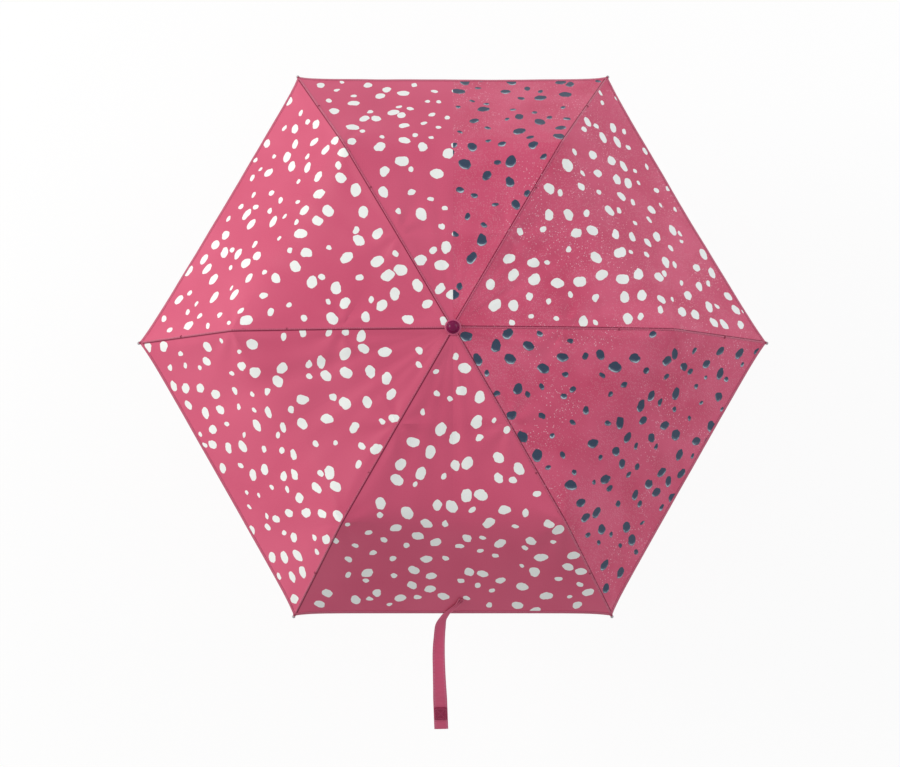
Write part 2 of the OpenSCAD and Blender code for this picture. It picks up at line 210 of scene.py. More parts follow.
def turned(outline, steps=96):
    """A closed ring or solid, turned round Z from an outline of radius and height pairs."""
    shape = bmesh.new()
    corners = [shape.verts.new((r, 0, z)) for r, z in outline]
    lines = [shape.edges.new(pair) for pair in zip(corners, corners[1:])]
    bmesh.ops.spin(shape, geom=corners + lines, cent=(0, 0, 0), axis=(0, 0, 1), dvec=(0, 0, 0),
                   angle=2 * math.pi, steps=steps, use_merge=True, use_duplicate=False)
    return closed(shape)


def arc(centre, r, start, end, count):
    """Points of an arc in an outline, from one angle to another, in degrees."""
    angles = [math.radians(start + (end - start) * k / (count - 1)) for k in range(count)]
    return [(centre[0] + r * math.cos(a), centre[1] + r * math.sin(a)) for a in angles]


def piece(name, shape, material, body):
    """Makes a finished object of a shape, with its material, and lets it ride on a body."""
    mesh = bpy.data.meshes.new(name)
    for face in shape.faces:
        face.smooth = True
    shape.to_mesh(mesh)
    shape.free()
    mesh.materials.append(material)
    obj = bpy.data.objects.new(name, mesh)
    bpy.context.scene.collection.objects.link(obj)
    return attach(obj, body)


def dress(node, material):
    """Gives a CAD node its finish."""
    slots = frame["nodes"][node].data.materials
    if not slots:
        slots.append(material)
    for k in range(len(slots)):
        slots[k] = material


def new_material(name):
    """A material with a Principled shader, and the Object coordinates that its patterns use."""
    material = bpy.data.materials.new(name)
    material.use_nodes = True
    tree = material.node_tree
    tree.nodes.clear()
    surface = add_node(tree, "BsdfPrincipled")
    add_node(tree, "OutputMaterial", {"Surface": surface})
    place = add_node(tree, "TexCoord").outputs["Object"]
    return material, tree, surface, place


def soft_plastic(name, colour, worn_colour, roughness, grain_mm):
    """Moulded plastic: fine spark-eroded grain, a faint cloudiness, and edges rubbed lighter."""
    material, tree, surface, place = new_material(name)
    cloud = add_node(tree, "TexNoise", {"Vector": place, "Scale": 38.0, "Detail": 3.0})
    tint = add_node(tree, "MapRange", {"Value": cloud, "From Min": 0.35, "From Max": 0.75})
    share = add_node(tree, "Math", {0: tint, 1: 0.22}, operation="MULTIPLY")
    ridges = add_node(tree, "NewGeometry").outputs["Pointiness"]
    edge = add_node(tree, "MapRange", {"Value": ridges, "From Min": 0.52, "From Max": 0.6,
                                       "To Max": 0.5})
    worn = add_node(tree, "Math", {0: share, 1: edge}, operation="ADD", use_clamp=True)
    mixed = add_node(tree, "Mix", {0: worn, 6: linear(colour), 7: linear(worn_colour)},
                     data_type="RGBA")
    gloss = add_node(tree, "MapRange", {"Value": cloud, "From Min": 0.3, "From Max": 0.7,
                                        "To Min": roughness - 0.06, "To Max": roughness + 0.06})
    grain = add_node(tree, "TexNoise", {"Vector": place, "Scale": 1000 / grain_mm, "Detail": 2.0})
    bump = add_node(tree, "Bump", {"Height": grain, "Strength": 0.12, "Distance": 0.0002})
    set_inputs(tree, surface, {"Base Color": mixed, "Roughness": gloss, "Normal": bump, "IOR": 1.5})
    return material


# Soft-touch coated ABS: matt, with a dull broad shine
grip_coat = soft_plastic("soft_touch_raspberry_abs", "#A63459", "#C05A7C", 0.5, 0.6)

grip_outline = [(0.0065, grip_low.z + 0.0006), (grip_r - 0.0016, grip_low.z)]
grip_outline += arc((grip_r - 0.0014, grip_low.z + 0.0014), 0.0014, -90, 0, 6)
for ring in (grip_low.z + 0.014 + ring_pitch * k for k in range(5)):
    grip_outline += [(grip_r, ring - ring_half), (grip_r - 0.7 * ring_deep, ring - ring_half / 2),
                     (grip_r - ring_deep, ring), (grip_r - 0.7 * ring_deep, ring + ring_half / 2),
                     (grip_r, ring + ring_half)]
grip_outline += arc((grip_r - 0.0016, cone_low - 0.0006), 0.0016, 0, 80, 6)
grip_outline += [(grip_r - 0.0026, cone_low + 0.0012), (grip_r - 0.0033, cone_low + 0.006),
                 (grip_r - 0.0041, grip_high.z - 0.0008), (grip_r - 0.0046, grip_high.z)]
grip_outline += [(shaft_clearance + 0.0004, grip_high.z), (shaft_clearance, grip_high.z - 0.0005),
                 (shaft_clearance, grip_high.z - 0.003), (0.0037, grip_high.z - 0.0035)]
grip = piece("grip_shell", turned(grip_outline), grip_coat, "handle")
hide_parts("handle_grip")
dress("handle_end_cap", grip_coat)


# ---------------------------------------------------------------- Shaft
# Three drawn steel tubes, chrome plated, the thinnest at the handle. A sprung button at each
# joint holds the shaft open, and the plate shows fine rings where the tubes slide.


def patchy(tree, place, scale, detail, low, high, to=(0.0, 1.0), **settings):
    """Soft patches of noise, so many to the metre, spread from low and high to the two values
    of to."""
    waves = add_node(tree, "TexNoise", {"Vector": place, "Scale": scale, "Detail": detail}, **settings)
    return add_node(tree, "MapRange", {"Value": waves, "From Min": low, "From Max": high,
                                       "To Min": to[0], "To Max": to[1]})


def plated_steel(name, colour, roughness, streak_mm, stretch):
    """Bright plated steel: fine lines, drawn out along the axes that stretch makes less than
    1, and a faint cloudy tarnish."""
    material, tree, surface, place = new_material(name)
    lines = add_node(tree, "Mapping", {"Vector": place, "Scale": stretch})
    streaks = add_node(tree, "TexNoise", {"Vector": lines, "Scale": 1000 / streak_mm, "Detail": 4.0})
    tarnish = patchy(tree, place, 55.0, 2.0, 0.35, 0.7)
    mixed = add_node(tree, "Mix", {0: tarnish, 6: linear(colour), 7: linear("#B4B6B8")},
                     data_type="RGBA")
    gloss = add_node(tree, "MapRange", {"Value": streaks, "From Min": 0.3, "From Max": 0.7,
                                        "To Min": roughness - 0.07, "To Max": roughness + 0.1})
    bump = add_node(tree, "Bump", {"Height": streaks, "Strength": 0.06, "Distance": 0.0001})
    set_inputs(tree, surface, {"Base Color": mixed, "Roughness": gloss, "Normal": bump,
                               "Metallic": 1.0})
    return material


# Chrome plate over drawn tube: bright, with lines round the tube from sliding
tube_chrome = plated_steel("chrome_plated_tube", "#C9CBCD", 0.2, 0.8, (0.15, 0.15, 1.0))
for node in ("lower_tube", "middle_tube", "upper_tube"):
    dress(node, tube_chrome)

# Spring steel: bare, greyer and duller than the plate
spring_steel = plated_steel("bare_spring_steel", "#8E9094", 0.36, 0.5, (1.0, 1.0, 1.0))
for node in ("lower_lock", "middle_lock", "runner_catch", "notch_wire", "runner_wire"):
    dress(node, spring_steel)


# ---------------------------------------------------------------- Crown and runner
# The crown notch is pressed on the top of the shaft, and the runner slides below it. Both are
# black nylon, moulded with a slot for each rib, and a ring of wire runs through all six.

# Moulded nylon: near black, slightly waxy
black_nylon = soft_plastic("black_moulded_nylon", "#1D1B1E", "#3A383D", 0.42, 0.8)
dress("top_notch", black_nylon)
dress("runner", black_nylon)


# ---------------------------------------------------------------- Ribs and links
# Six rib sets fold in three. The top and middle ribs and the stretchers are channels pressed
# from zinc-plated strip, the outer ribs are round rods, and thin wires link them. Each rod
# ends in a grey bead, which the cloth is sewn to.

bead_length = 0.0046

# Zinc plate over pressed strip: pale grey, half matt, with drawn lines
rib_zinc = plated_steel("zinc_plated_strip", "#B9BCC0", 0.33, 0.7, (0.2, 0.2, 1.0))

# The same plate on the outer rods, which end in beads of grey acetal: duller, and not metal
rod_zinc = plated_steel("zinc_plated_rod_and_acetal_bead", "#AEB1B5", 0.3, 0.5, (0.3, 0.3, 0.3))
tree = rod_zinc.node_tree
surface = tree.nodes["Principled BSDF"]
flat_place = add_node(tree, "VectorMath", {0: add_node(tree, "TexCoord").outputs["Object"],
                                           1: (1.0, 1.0, 0.0)}, operation="MULTIPLY")
reach = add_node(tree, "VectorMath", {0: flat_place}, operation="LENGTH")
on_bead = add_node(tree, "Math", {0: reach, 1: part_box("outer_rib_1")[1].x - bead_length},
                   operation="GREATER_THAN")
plate = surface.inputs["Base Color"].links[0].from_socket
tinted = add_node(tree, "Mix", {0: on_bead, 6: plate, 7: linear("#A9A6AA")}, data_type="RGBA")
bare = add_node(tree, "Math", {0: 1.0, 1: on_bead}, operation="SUBTRACT")
set_inputs(tree, surface, {"Base Color": tinted, "Metallic": bare})

rib_count = 6
for number in range(1, rib_count + 1):
    for name in ("top_rib", "stretcher", "link_bar", "middle_rib", "pull_wire"):
        dress(f"{name}_{number}", rib_zinc)
    dress(f"outer_rib_{number}", rod_zinc)


# ---------------------------------------------------------------- Canopy
# Six wedge-shaped gores of plain-woven polyester pongee, printed with hand-drawn spots, sewn
# edge to edge along the ribs and stretched by them. Each gore is made here as one curved
# sheet, cut at the knees, the creases and its middle, so that every part folds with its rib.

step = 2 * math.pi / rib_count
half_step = step / 2
cloth_lift = 0.00305
hinge = Vector((joint["top_rib_hinge_1"]["pos_m"][0], crown_z))
knee = Vector((joint["knee_1"]["pos_m"][0], joint["knee_1"]["pos_m"][2]))
crease = Vector((joint["crease_1"]["pos_m"][0], joint["crease_1"]["pos_m"][2]))
rib_low, rib_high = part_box("outer_rib_1")
bead_r = 0.0024
tip = Vector((rib_high.x - bead_r, rib_low.z + bead_r))
hem_gap = 0.0045
crown_hole = 0.0103


def facing(turn):
    """The level directions outwards and sideways at an angle round the shaft."""
    return Vector((math.cos(turn), math.sin(turn), 0)), Vector((-math.sin(turn), math.cos(turn), 0))


def gore_beside(rib, side):
    """The gore after a rib, or, on side 1, the one before it."""
    return rib if side < 0 else (rib - 2) % rib_count + 1


def square_to(start, end):
    """The direction square to a line in a rib's plane, on its upper side."""
    along = (end - start).normalized()
    return Vector((-along.y, along.x))


seam_line = [Vector((crown_hole, crown_z + cloth_lift + 0.0004)),
             knee + cloth_lift * (square_to(hinge, knee) + square_to(knee, crease)).normalized(),
             crease + (cloth_lift + 0.0016) * (square_to(knee, crease)
                                               + square_to(crease, tip)).normalized(),
             tip + hem_gap * (crease - tip).normalized() + cloth_lift * square_to(crease, tip)]

zones = ("crown", "middle", "skirt")
zone_bodies = ("top_rib", "middle_rib", "outer_rib")
middle_out = [p.x * math.cos(half_step) for p in seam_line]
middle_slopes = [(seam_line[k + 1].y - seam_line[k].y) / (middle_out[k + 1] - middle_out[k])
                 for k in range(3)]
flat_from_centre = [middle_out[0]]
for k in range(3):
    flat_from_centre.append(flat_from_centre[k] + math.hypot(middle_out[k + 1] - middle_out[k],
                                                             seam_line[k + 1].y - seam_line[k].y))
slack = 0.015          # sag of the middle of a gore, as a share of its distance from the crown
hem_dip = 0.0055       # how far the hem draws back between its sharp corners at the tips
hem_corner = 0.018     # over this length beside each tip
ripple_size = 0.0016   # height of the pull wrinkles round each tie
ripple_reach = 0.055   # and how far from the tie they die away
billow = 0.0030        # height of the broad random waves of the cloth
fan_wrinkle = 0.0018   # height of the random wrinkles that fan out from the crown
held_down = 0.012      # the seam holds waves and wrinkles down up to this far beside it
crown_flat = 0.035     # the cloth lies flat and taut up to this far outside the washer


def bend_softness(between, tied, wide):
    """Half-width of a soft bend: tight at the tie on the rib, and wide in a gore's middle."""
    return tied + wide * (1 - (1 - between) ** 2)


def cloth_height(gore, out, across, half_width, between):
    """How far a point of a gore lies above the taut flat cloth between the ribs: sag, soft
    bends at the knee and the crease, pull wrinkles round the ties, waves and wrinkles."""
    height = -slack * out * (1 - (1 - between) ** 2)
    for k, tied, wide in ((1, 0.002, 0.024), (2, 0.0014, 0.028)):
        off = out - middle_out[k]
        soft = bend_softness(between, tied, wide)
        turn = (middle_slopes[k - 1] - middle_slopes[k]) / 2
        height -= turn * (math.hypot(off, soft) - abs(off))
    from_seam = half_width * between
    edge_fade = min(1.0, from_seam / held_down) ** 2
    for k in (1, 2, 3):
        for side in (-1, 1):
            dx = out - middle_out[k]
            dy = across - side * seam_line[k].x * math.sin(half_step)
            turn = 7 * math.atan2(dy * side, dx) + 2.1 * gore + side + 1.3 * k
            fading = math.exp(-math.hypot(dx, dy) / ripple_reach)
            height += ripple_size * fading * math.cos(turn) * edge_fade
    place = Vector((out * 7.0, across * 9.0, gore * 5.3))
    height += billow * noise.noise(place) * edge_fade
    fan = Vector((math.atan2(across, out) * 9.0, out * 3.0, gore * 3.1 + 40))
    height += fan_wrinkle * noise.noise(fan) * edge_fade * min(1.0, out / 0.1)
    free = min(1.0, max(0.0, (out - middle_out[0]) / crown_flat))
    return height * free * free * (3 - 2 * free)


def cloth_point(gore, side, zone, along, between):
    """A point on a gore: along a zone from 0 to 1, and from the seam at 0 to its middle at 1.
    Gives its place, its place in the flat cut of the gore, and its distance from the seam."""
    if zone == 2:
        length = (seam_line[3] - seam_line[2]).length
        from_seam = seam_line[3].x * math.sin(half_step) * between
        along *= 1 - along * hem_dip / length * (1 - math.exp(-from_seam / hem_corner))
    on_seam = seam_line[zone].lerp(seam_line[zone + 1], along)
    half_width = on_seam.x * math.sin(half_step)
    out = on_seam.x * math.cos(half_step)
    across = side * half_width * (1 - between)
    outwards, sideways = facing(gore * step - half_step)
    height = on_seam.y + cloth_height(gore, out, across, half_width, between)
    place = out * outwards + across * sideways + Vector((0, 0, height))
    flat_out = flat_from_centre[zone] + along * (flat_from_centre[zone + 1] - flat_from_centre[zone])
    return place, Vector((flat_out, across)), half_width * between


def lay_flat(shape, flats):
    """Gives a shape its UV map, from each point's place in the flat cut."""
    uv = shape.loops.layers.uv.new("flat_cut")
    for face in shape.faces:
        for loop in face.loops:
            loop[uv].uv = flats[loop.vert]


def face_up(shape):
    """Turns the faces of a sheet upwards."""
    shape.normal_update()
    if sum(face.calc_area() * face.normal.z for face in shape.faces) < 0:
        bmesh.ops.reverse_faces(shape, faces=shape.faces)
    return shape


def cloth_grid(gore, side, zone, rows, columns):
    """Part of a gore's curved sheet, with its flat cut as a UV map and its distance in
    millimetres from the seam and from the hem. A seam's shadow falls only on the left half
    beside it, so right halves are put 50 mm further off, and all but the skirts 200 mm from the
    hem."""
    shape = bmesh.new()
    bmesh.ops.create_grid(shape, x_segments=rows, y_segments=columns, size=0.5)
    seam_mm, hem_mm, gore_number = (shape.verts.layers.float.new(layer)
                                    for layer in ("seam_mm", "hem_mm", "gore_number"))
    length = (seam_line[zone + 1] - seam_line[zone]).length
    flats = {}
    for vert in shape.verts:
        along = vert.co.x + 0.5
        vert.co, flats[vert], from_seam = cloth_point(gore, side, zone, along, vert.co.y + 0.5)
        vert[seam_mm] = 1000 * from_seam if side < 0 else 50.0 + 1000 * from_seam
        vert[hem_mm] = 1000 * (1 - along) * length if zone == 2 else 200.0
        vert[gore_number] = gore
    lay_flat(shape, flats)
    return face_up(shape)


spot_cells = 33.0      # cells of the print to the metre, each with one spot
print_turn = 0.43      # how far the print is turned on the cloth, in radians
glint_shift = 0.0042   # how far the light in a wet spot is drawn towards the strap


def spot_field(tree, cut, shift):
    """Hand-drawn spots, one to a cell of about 30 mm: ovals of two sizes, turned at random,
    with a wavering outline. Gives how far a point, moved by shift, lies inside its spot. Spots
    that a seam or the hem would cut are left out, apart from a few."""
    gore = add_node(tree, "Attribute", attribute_name="gore_number").outputs["Fac"]
    own = add_node(tree, "CombineXYZ")
    for axis, metres in (("X", 1.7), ("Y", 0.9)):
        away = add_node(tree, "Math", {0: gore, 1: metres}, operation="MULTIPLY")
        set_inputs(tree, own, {axis: away})
    moved = add_node(tree, "VectorMath", {0: cut, 1: shift}, operation="ADD")
    moved = add_node(tree, "VectorMath", {0: moved, 1: own}, operation="ADD")
    moved = add_node(tree, "VectorRotate", {"Vector": moved, "Angle": print_turn},
                     rotation_type="Z_AXIS")
    waver = add_node(tree, "TexNoise", {"Vector": moved, "Scale": 95.0, "Detail": 2.0},
                     noise_dimensions="2D").outputs["Color"]
    offset = add_node(tree, "VectorMath", {0: waver, 1: (0.5, 0.5, 0.5)}, operation="SUBTRACT")
    offset = add_node(tree, "VectorMath", {0: offset, "Scale": 0.0042}, operation="SCALE")
    drawn = add_node(tree, "VectorMath", {0: moved, 1: offset}, operation="ADD")
    cells = add_node(tree, "TexVoronoi", {"Vector": drawn, "Scale": spot_cells, "Randomness": 0.62},
                     voronoi_dimensions="2D").outputs
    scaled = add_node(tree, "VectorMath", {0: drawn, "Scale": spot_cells}, operation="SCALE")
    middle = add_node(tree, "VectorMath", {0: cells["Position"], "Scale": spot_cells},
                      operation="SCALE")
    from_middle = add_node(tree, "VectorMath", {0: scaled, 1: middle}, operation="SUBTRACT")
    chance = add_node(tree, "SeparateColor", {"Color": cells["Color"]}).outputs
    angle = add_node(tree, "Math", {0: chance[1], 1: 6.28}, operation="MULTIPLY")
    oval = add_node(tree, "VectorRotate", {"Vector": from_middle, "Angle": angle},
                    rotation_type="Z_AXIS")
    oval = add_node(tree, "VectorMath", {0: oval, 1: (1.0, 1.32, 0.0)}, operation="MULTIPLY")
    reach = add_node(tree, "VectorMath", {0: oval}, operation="LENGTH")
    large = add_node(tree, "Math", {0: chance[0], 1: 0.44}, operation="GREATER_THAN")
    size = add_node(tree, "Math", {0: large, 1: 0.12, 2: 0.13}, operation="MULTIPLY_ADD")
    size = add_node(tree, "Math", {0: chance[2], 1: 0.065, 2: size}, operation="MULTIPLY_ADD")

    # The room round a spot's middle, in metres, up to the hem and to the seams
    local = add_node(tree, "VectorRotate", {"Vector": cells["Position"], "Angle": -print_turn},
                     rotation_type="Z_AXIS")
    local = add_node(tree, "VectorMath", {0: local, 1: own}, operation="SUBTRACT")
    far, aside, _ = add_node(tree, "SeparateXYZ", {"Vector": local}).outputs
    aside = add_node(tree, "Math", {0: aside}, operation="ABSOLUTE")
    room = add_node(tree, "Math", {0: flat_from_centre[3] - 0.004, 1: far}, operation="SUBTRACT")
    for k in (0, 2):
        wide = [p.x * math.sin(half_step) for p in (seam_line[k], seam_line[k + 1])]
        slope = (wide[1] - wide[0]) / (flat_from_centre[k + 1] - flat_from_centre[k])
        start = wide[0] - slope * flat_from_centre[k] - 0.001
        edge = add_node(tree, "Math", {0: far, 1: slope, 2: start}, operation="MULTIPLY_ADD")
        to_seam = add_node(tree, "Math", {0: edge, 1: aside}, operation="SUBTRACT")
        room = add_node(tree, "Math", {0: room, 1: to_seam}, operation="MINIMUM")
    needed = add_node(tree, "Math", {0: size, 1: 0.021}, operation="MULTIPLY")
    whole = add_node(tree, "Math", {0: room, 1: needed}, operation="GREATER_THAN")
    size = add_node(tree, "Math", {0: size, 1: whole}, operation="MULTIPLY")
    reach = add_node(tree, "Math", {0: reach, 1: 0.02}, operation="MAXIMUM")
    return add_node(tree, "Math", {0: size, 1: reach}, operation="SUBTRACT")


def painted_wet_glints(tree, cut, ink, inside):
    """Painted highlight in a wet spot: the side towards the strap is painted paler, with a painted
    bright crescent just inside its edge, stronger in some spots than in others."""
    gore = add_node(tree, "Attribute", attribute_name="gore_number").outputs["Fac"]
    turn = add_node(tree, "Math", {0: gore, 1: step, 2: -half_step}, operation="MULTIPLY_ADD")
    strap_way = add_node(tree, "CombineXYZ")
    for axis, part in (("X", "SINE"), ("Y", "COSINE")):
        share = add_node(tree, "Math", {0: turn}, operation=part)
        away = add_node(tree, "Math", {0: share, 1: -glint_shift}, operation="MULTIPLY")
        set_inputs(tree, strap_way, {axis: away})
    lower = spot_field(tree, cut, strap_way)
    painted_sheen_mask = add_node(tree, "MapRange", {"Value": lower, "From Min": 0.07, "From Max": -0.12})
    painted_sheen_mask = add_node(tree, "Math", {0: painted_sheen_mask, 1: 1.8}, operation="POWER")
    glint = patchy(tree, cut, 60.0, 2.0, 0.4, 0.66, to=(0.04, 0.7), noise_dimensions="2D")
    painted_sheen_mask = add_node(tree, "Math", {0: painted_sheen_mask, 1: glint}, operation="MULTIPLY")
    # Painted highlight: the strap's side of each wet spot is mixed towards pale slate
    ink = add_node(tree, "Mix", {0: painted_sheen_mask, 6: ink, 7: linear("#8398A8")}, data_type="RGBA")
    rim = add_node(tree, "MapRange", {"Value": inside, "From Min": 0.09, "From Max": 0.055})
    inset = add_node(tree, "MapRange", {"Value": inside, "From Min": 0.012, "From Max": 0.032})
    below = add_node(tree, "MapRange", {"Value": lower, "From Min": -0.035, "From Max": -0.065})
    crescent = add_node(tree, "Math", {0: rim, 1: inset}, operation="MULTIPLY")
    shine = add_node(tree, "Math", {0: below, 1: glint}, operation="MULTIPLY")
    crescent = add_node(tree, "Math", {0: crescent, 1: shine}, operation="MULTIPLY")
    # Painted highlight: a bright crescent inside the spot's edge, mixed towards near white
    return add_node(tree, "Mix", {0: crescent, 6: ink, 7: linear("#CAD6DE")}, data_type="RGBA")


def printed_pongee(name, spot_colour, wet):
    """Plain-woven pongee with printed spots. The threads are drawn 1.3 mm apart, far coarser than the
    real 0.15 mm, so that the weave shows. The spots are fainter on the inner side. Wet cloth is
    glossier, and beaded with drops that are lightened by a painted highlight. The navy spots on it
    carry painted highlights too."""
    material, tree, surface, place = new_material(name)
    cut = add_node(tree, "UVMap", uv_map="flat_cut")
    inside = spot_field(tree, cut, (0.0, 0.0, 0.0))
    spots = add_node(tree, "MapRange", {"Value": inside, "From Min": -0.012, "From Max": 0.012})

    tone = patchy(tree, place, 5.5, 3.0, 0.3, 0.7)
    cloth = add_node(tree, "Mix", {0: tone, 6: linear("#C14869"), 7: linear("#CB5675")},
                     data_type="RGBA")
    if wet:
        patches = patchy(tree, place, 17.0, 5.0, 0.42, 0.68)
        cloth = add_node(tree, "Mix", {0: patches, 6: cloth, 7: linear("#BC4061")}, data_type="RGBA")

    weft, warp = (add_node(tree, "TexWave", {"Vector": cut, "Scale": 122.0},
                           bands_direction=way).outputs["Fac"]
                  for way in "XY")
    weave = add_node(tree, "Math", {0: weft, 1: warp}, operation="MULTIPLY")
    fine = add_node(tree, "TexNoise", {"Vector": cut, "Scale": 900.0, "Detail": 2.0},
                    noise_dimensions="2D")
    shade = add_node(tree, "Math", {0: weave, 1: 0.12, 2: fine}, operation="MULTIPLY_ADD")
    shade = add_node(tree, "MapRange", {"Value": shade, "From Min": 0.3, "From Max": 0.85})
    shade = add_node(tree, "Math", {0: shade, 1: 0.13}, operation="MULTIPLY")
    cloth = add_node(tree, "Mix", {0: shade, 6: cloth, 7: linear("#E58FA6")}, data_type="RGBA")

    inside_out = add_node(tree, "NewGeometry").outputs["Backfacing"]
    strength = add_node(tree, "Math", {0: inside_out, 1: -0.45, 2: 1.0}, operation="MULTIPLY_ADD")
    spots = add_node(tree, "Math", {0: spots, 1: strength}, operation="MULTIPLY")
    ink = add_node(tree, "Mix", {0: fine, 6: linear(spot_colour[0]), 7: linear(spot_colour[1])},
                   data_type="RGBA")
    # Navy spots, which are wet, get painted highlights
    if spot_colour == navy:
        ink = painted_wet_glints(tree, cut, ink, inside)
    cloth = add_node(tree, "Mix", {0: spots, 6: cloth, 7: ink}, data_type="RGBA")

    # Painted shade: the cloth is painted darker beside the seam's ridge, where its shadow falls, and
    # along the inner fold of the hem
    seam = add_node(tree, "Attribute", attribute_name="seam_mm").outputs["Fac"]
    beside = add_node(tree, "MapRange", {"Value": seam, "From Min": 2.3, "From Max": 3.5,
                                         "To Min": 0.95, "To Max": 0.0})
    hem = add_node(tree, "Attribute", attribute_name="hem_mm").outputs["Fac"]
    hem_fold_shade = add_node(tree, "MapRange", {"Value": hem, "From Min": 5.2, "From Max": 6.4,
                                            "To Min": 0.45, "To Max": 0.0})
    shadow = add_node(tree, "Math", {0: beside, 1: hem_fold_shade}, operation="MAXIMUM")
    cloth = add_node(tree, "Mix", {0: shadow, 6: cloth, 7: linear("#6A002C")}, data_type="RGBA")

    height = add_node(tree, "Math", {0: weave, 1: 0.35}, operation="MULTIPLY")
    if wet:
        # Beads of rain in cells of 2.5 mm, thick in some patches, each lightened by a painted highlight
        # that is stronger on a few drops
        drops = add_node(tree, "TexVoronoi", {"Vector": cut, "Scale": 400.0, "Randomness": 1.0},
                         voronoi_dimensions="2D").outputs
        luck = add_node(tree, "SeparateColor", {"Color": drops["Color"]}).outputs[0]
        rain = patchy(tree, place, 24.0, 3.0, 0.34, 0.6, to=(0.95, 0.34))
        there = add_node(tree, "Math", {0: luck, 1: rain}, operation="GREATER_THAN")
        bead = add_node(tree, "MapRange", {"Value": drops["Distance"], "From Max": 0.42,
                                           "To Min": 1.0, "To Max": 0.0})
        bead = add_node(tree, "Math", {0: bead, 1: there}, operation="MULTIPLY")
        unprinted = add_node(tree, "Math", {0: 1.0, 1: spots}, operation="SUBTRACT")
        bead = add_node(tree, "Math", {0: bead, 1: unprinted}, operation="MULTIPLY")
        height = add_node(tree, "Math", {0: bead, 1: 1.8, 2: height}, operation="MULTIPLY_ADD")
        showers = patchy(tree, place, 13.0, 1.0, 0.5, 0.6)
        strongly_lit_drop = add_node(tree, "Math", {0: luck, 1: 0.88}, operation="GREATER_THAN")
        strongly_lit_drop = add_node(tree, "Math", {0: strongly_lit_drop, 1: showers}, operation="MULTIPLY")
        # Painted highlight: beads are mixed towards pale pink, most on the strongly lit drops
        painted_bead_highlight = add_node(tree, "Math", {0: strongly_lit_drop, 1: 0.6, 2: 0.18}, operation="MULTIPLY_ADD")
        painted_bead_highlight = add_node(tree, "Math", {0: bead, 1: painted_bead_highlight}, operation="MULTIPLY")
        cloth = add_node(tree, "Mix", {0: painted_bead_highlight, 6: cloth, 7: linear("#F2C9D4")}, data_type="RGBA")
        wetness = add_node(tree, "Math", {0: bead, 1: spots}, operation="MAXIMUM")
        gloss = add_node(tree, "MapRange", {"Value": wetness, "To Min": 0.46, "To Max": 0.14})
    else:
        gloss = add_node(tree, "MapRange", {"Value": fine, "To Min": 0.47, "To Max": 0.6})
    bump = add_node(tree, "Bump", {"Height": height, "Strength": 0.35, "Distance": 0.0003})
    set_inputs(tree, surface, {"Base Color": cloth, "Roughness": gloss, "Normal": bump,
                               "Sheen Weight": 0.1, "Sheen Roughness": 0.35,
                               "Sheen Tint": linear("#F08CA8"), "Specular IOR Level": 0.22})
    return material


# The spots are printed off-white, and those of wet cloth have turned navy
white = ("#E1E5E2", "#EDF0EE")
navy = ("#22334A", "#384A60")
dry_cloth = printed_pongee("dry_printed_pongee", white, False)
damp_cloth = printed_pongee("damp_printed_pongee", white, True)
wet_cloth = printed_pongee("wet_printed_pongee", navy, True)


def cloth_of(gore, side):
    """Gore 6 and the right half of gore 2 are wet through, and gore 1 is beaded with rain."""
    if gore == 6 or (gore == 2 and side < 0):
        return wet_cloth
    return damp_cloth if gore == 1 else dry_cloth


# The two halves of a gore, and the rows and columns of each zone's grid
halves = ((-1, "left"), (1, "right"))
cloth_steps = ((26, 14), (28, 26), (38, 34))


def fold_lines(rib, side, zone):
    """The seam's start and direction, and the direction square to it in the cloth."""
    turn = (rib - 1) * step
    out = facing(turn)[0]
    start, end = (p.x * out + Vector((0, 0, p.y)) for p in (seam_line[zone], seam_line[zone + 1]))
    along = (end - start).normalized()
    chord = facing(turn - side * half_step)[1] * -side
    return start, along, (chord - chord.dot(along) * along).normalized()


for rib in range(1, rib_count + 1):
    for side, hand in halves:
        gore = gore_beside(rib, side)
        for zone, (rows, columns) in enumerate(cloth_steps):
            start, along, square = fold_lines(rib, side, zone)
            parts = {zones[zone]: cloth_grid(gore, side, zone, rows, columns)}
            if zone == 2:
                parts["gusset"] = parts["skirt"].copy()
                for part, inner in (("skirt", True), ("gusset", False)):
                    shape = parts[part]
                    bmesh.ops.bisect_plane(shape, geom=shape.verts[:] + shape.edges[:] + shape.faces[:],
                                           plane_co=start, plane_no=along, dist=1e-7,
                                           clear_inner=inner, clear_outer=not inner)
            for part, shape in parts.items():
                area = sum(face.calc_area() for face in shape.faces)
                body = f"{zone_bodies[zone]}_{rib}"
                cloth = piece(f"cloth_{part}_{rib}_{hand}", shape, cloth_of(gore, side), body)
                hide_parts(f"canopy_gore_{gore}")
                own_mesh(cloth)


# ---------------------------------------------------------------- Seams
# Along each rib the gores are joined with a lapped seam in polyester thread. It stands as a
# narrow ridge over the rib, lighter than the shadow beside it.

ridge_half = 0.0015
ridge_rise = 0.0009
ridge_sink = 0.00015


